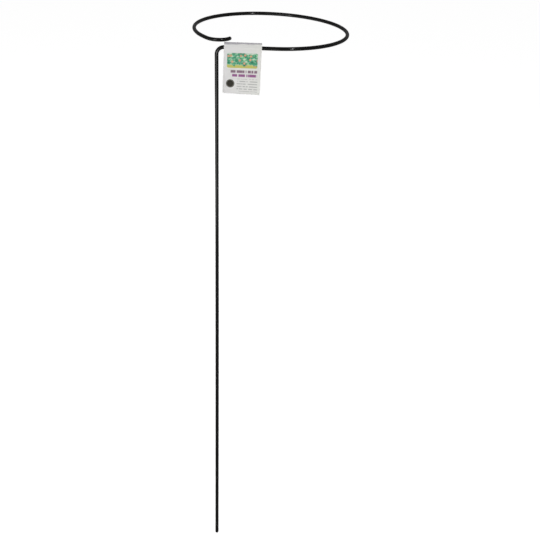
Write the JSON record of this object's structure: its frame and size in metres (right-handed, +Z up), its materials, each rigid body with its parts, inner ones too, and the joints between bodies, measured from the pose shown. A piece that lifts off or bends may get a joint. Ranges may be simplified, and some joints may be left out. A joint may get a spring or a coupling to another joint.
{
  "type": "plant support ring stake",
  "caption": "Garden plant support: a straight coated-wire stem bent over into an open horizontal ring with a hooked tail, and a folded card tag hanging on the wire beside the bend.",
  "frame": {"origin": "on the stem's axis at the soil line, 200 mm above the tip", "axes": "+Z up the stem, +X from the stem along the straight stretch that carries the tag, +Y from that stretch across the ring"},
  "size_m": [0.2558, 0.2569, 0.92],
  "materials": {
    "core_steel": "drawn wire, not seen",
    "black_coating": "satin black plastic with a faint grain",
    "tag_board": null,
    "clear_adhesive": "thin adhesive film, not seen"
  },
  "bodies": {
    "wire": {"steel_core": "core_steel", "plastic_coating": "black_coating"},
    "tag": {"tag_card": "tag_board", "tag_adhesive": "clear_adhesive"}
  },
  "joints": [
    {"name": "tag_swing", "type": "hinge", "parent": "wire", "child": "tag", "pos_m": [0.03981, 0, 0.71115], "axis": [0.9996, 0, -0.0297], "range_deg": [-265, 82]}
  ]
}
